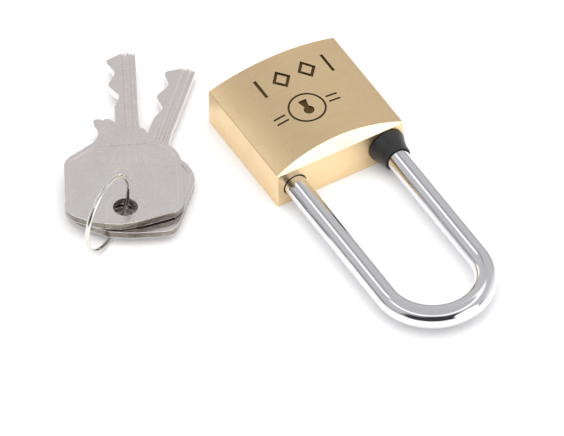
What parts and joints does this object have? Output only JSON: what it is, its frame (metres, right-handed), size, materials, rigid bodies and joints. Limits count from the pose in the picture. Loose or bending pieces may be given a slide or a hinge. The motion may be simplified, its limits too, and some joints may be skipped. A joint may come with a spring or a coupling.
{
  "type": "padlock",
  "caption": "Brass padlock with a crowned front, a long chrome shackle with a plastic collar, a ball-locked pin cylinder, and its keys on a wire ring.",
  "frame": {"origin": "centre of the body's flat back face, on the surface that the lock lies on", "axes": "+Z out of the crowned front, +Y towards the shackle's bend, +X towards the toe leg and the keys"},
  "size_m": [0.0967, 0.1341, 0.0234],
  "materials": {
    "body_brass": "fine brushed",
    "plug_brass": "turned",
    "shackle_chrome": "polished",
    "collar_plastic": "satin black",
    "key_nickel": "nickel plated, satin",
    "ring_steel": "bright nickel plated",
    "pin_steel": "turned",
    "ball_steel": "polished",
    "spring_steel": "bright wire"
  },
  "bodies": {
    "lock_body": {"lock_body": "body_brass", "heel_stop_pin": "pin_steel", "plug_retaining_pin": "pin_steel", "shackle_spring": "spring_steel", "pin_spring_1": "spring_steel", "pin_spring_2": "spring_steel", "pin_spring_3": "spring_steel", "pin_spring_4": "spring_steel", "pin_spring_5": "spring_steel", "chamber_plug_1": "body_brass", "chamber_plug_2": "body_brass", "chamber_plug_3": "body_brass", "chamber_plug_4": "body_brass", "chamber_plug_5": "body_brass"},
    "shackle": {"shackle": "shackle_chrome", "shackle_collar": "collar_plastic"},
    "plug": {"lock_plug": "plug_brass", "locking_cam": "pin_steel"},
    "toe_ball": {"toe_ball": "ball_steel"},
    "heel_ball": {"heel_ball": "ball_steel"},
    "driver_1": {"driver_pin_1": "pin_steel"},
    "driver_2": {"driver_pin_2": "pin_steel"},
    "driver_3": {"driver_pin_3": "pin_steel"},
    "driver_4": {"driver_pin_4": "pin_steel"},
    "driver_5": {"driver_pin_5": "pin_steel"},
    "key_pin_1": {"key_pin_1": "plug_brass"},
    "key_pin_2": {"key_pin_2": "plug_brass"},
    "key_pin_3": {"key_pin_3": "plug_brass"},
    "key_pin_4": {"key_pin_4": "plug_brass"},
    "key_pin_5": {"key_pin_5": "plug_brass"},
    "key_ring": {"key_ring": "ring_steel"},
    "rear_key": {"rear_key": "key_nickel"},
    "front_key": {"front_key": "key_nickel"}
  },
  "joints": [
    {"name": "shackle_lift", "type": "slide", "parent": "lock_body", "child": "shackle", "axis": [0, 1, 0], "range_m": [0, 0.013], "deforming": ["shackle_spring"]},
    {"name": "plug_turn", "type": "hinge", "parent": "lock_body", "child": "plug", "pos_m": [0, 0, 0.0064], "axis": [0, 1, 0], "range_deg": [0, 90]},
    {"name": "toe_ball_slide", "type": "slide", "parent": "lock_body", "child": "toe_ball", "axis": [1, 0, 0], "range_m": [0, 0.0013]},
    {"name": "heel_ball_slide", "type": "slide", "parent": "lock_body", "child": "heel_ball", "axis": [-1, 0, 0], "range_m": [0, 0.0013]},
    {"name": "driver_pin_1_slide", "type": "slide", "parent": "lock_body", "child": "driver_1", "axis": [1, 0, 0], "range_m": [0, 0.0012], "stiffness_N_per_m": 100, "deforming": ["pin_spring_1"]},
    {"name": "driver_pin_2_slide", "type": "slide", "parent": "lock_body", "child": "driver_2", "axis": [1, 0, 0], "range_m": [0, 0.0012], "stiffness_N_per_m": 100, "deforming": ["pin_spring_2"]},
    {"name": "driver_pin_3_slide", "type": "slide", "parent": "lock_body", "child": "driver_3", "axis": [1, 0, 0], "range_m": [0, 0.0012], "stiffness_N_per_m": 100, "deforming": ["pin_spring_3"]},
    {"name": "driver_pin_4_slide", "type": "slide", "parent": "lock_body", "child": "driver_4", "axis": [1, 0, 0], "range_m": [0, 0.0012], "stiffness_N_per_m": 100, "deforming": ["pin_spring_4"]},
    {"name": "driver_pin_5_slide", "type": "slide", "parent": "lock_body", "child": "driver_5", "axis": [1, 0, 0], "range_m": [0, 0.0012], "stiffness_N_per_m": 100, "deforming": ["pin_spring_5"]},
    {"name": "key_pin_1_slide", "type": "slide", "parent": "plug", "child": "key_pin_1", "axis": [0, 0, 1], "range_m": [-0.0007, 0]},
    {"name": "key_pin_2_slide", "type": "slide", "parent": "plug", "child": "key_pin_2", "axis": [0, 0, 1], "range_m": [-0.0007, 0]},
    {"name": "key_pin_3_slide", "type": "slide", "parent": "plug", "child": "key_pin_3", "axis": [0, 0, 1], "range_m": [-0.0007, 0]},
    {"name": "key_pin_4_slide", "type": "slide", "parent": "plug", "child": "key_pin_4", "axis": [0, 0, 1], "range_m": [-0.0007, 0]},
    {"name": "key_pin_5_slide", "type": "slide", "parent": "plug", "child": "key_pin_5", "axis": [0, 0, 1], "range_m": [-0.0007, 0]},
    {"name": "key_bunch_lift", "type": "slide", "parent": "lock_body", "child": "key_ring", "axis": [0, 0, 1], "range_m": [0, 0.03]},
    {"name": "rear_key_swing", "type": "hinge", "parent": "key_ring", "child": "rear_key", "pos_m": [0.0606, 0.0037, 0.00285], "axis": [-0.0185, -0.0243, 0.9995], "range_deg": [-5, 40]},
    {"name": "front_key_swing", "type": "hinge", "parent": "key_ring", "child": "front_key", "pos_m": [0.0591, 0.0033, 0.00535], "axis": [-0.0185, -0.0243, 0.9995], "range_deg": [-20, 30]}
  ],
  "couplings": [
    {"joint": "plug_turn", "follows": "toe_ball_slide", "rad_per_m": 1208.3},
    {"joint": "heel_ball_slide", "follows": "toe_ball_slide", "ratio": 1}
  ]
}
